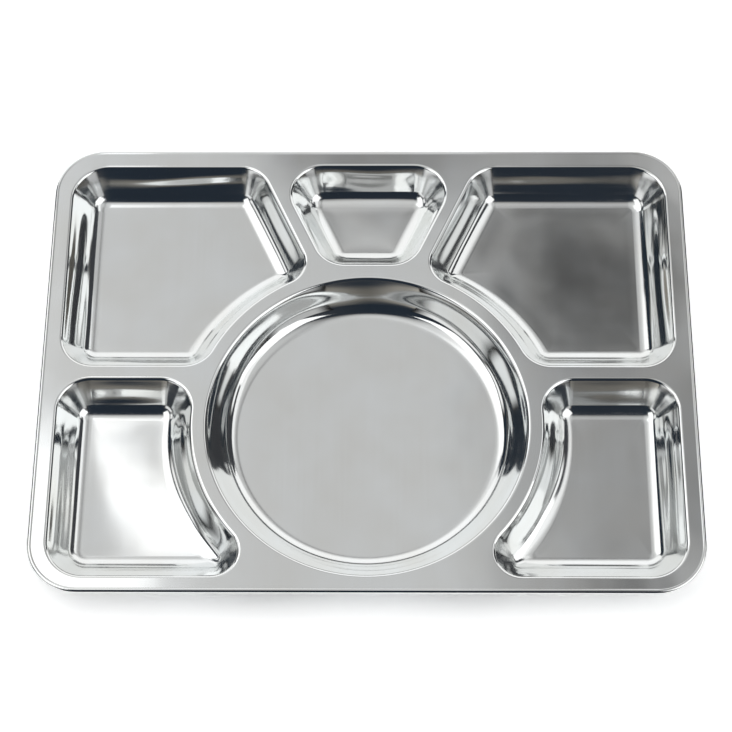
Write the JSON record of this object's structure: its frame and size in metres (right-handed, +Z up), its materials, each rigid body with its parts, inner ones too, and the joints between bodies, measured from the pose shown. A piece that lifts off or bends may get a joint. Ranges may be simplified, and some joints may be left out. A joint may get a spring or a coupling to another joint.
{
  "type": "divided compartment plate",
  "caption": "Shallow rectangular steel meal plate with rounded corners, a rolled edge and separate sunken food wells set around a large round well.",
  "frame": {"origin": "under the middle of the plate's outer box, on the plane that the well floors rest on", "axes": "+X along the plate to the right, +Y to the rear edge with the middle well, +Z up out of the wells"},
  "size_m": [0.4, 0.2986, 0.0205],
  "materials": {
    "steel": "satin flats and floors, mirror-bright drawn walls and rolled edge"
  },
  "bodies": {
    "root": {"tray": "steel"}
  },
  "joints": []
}
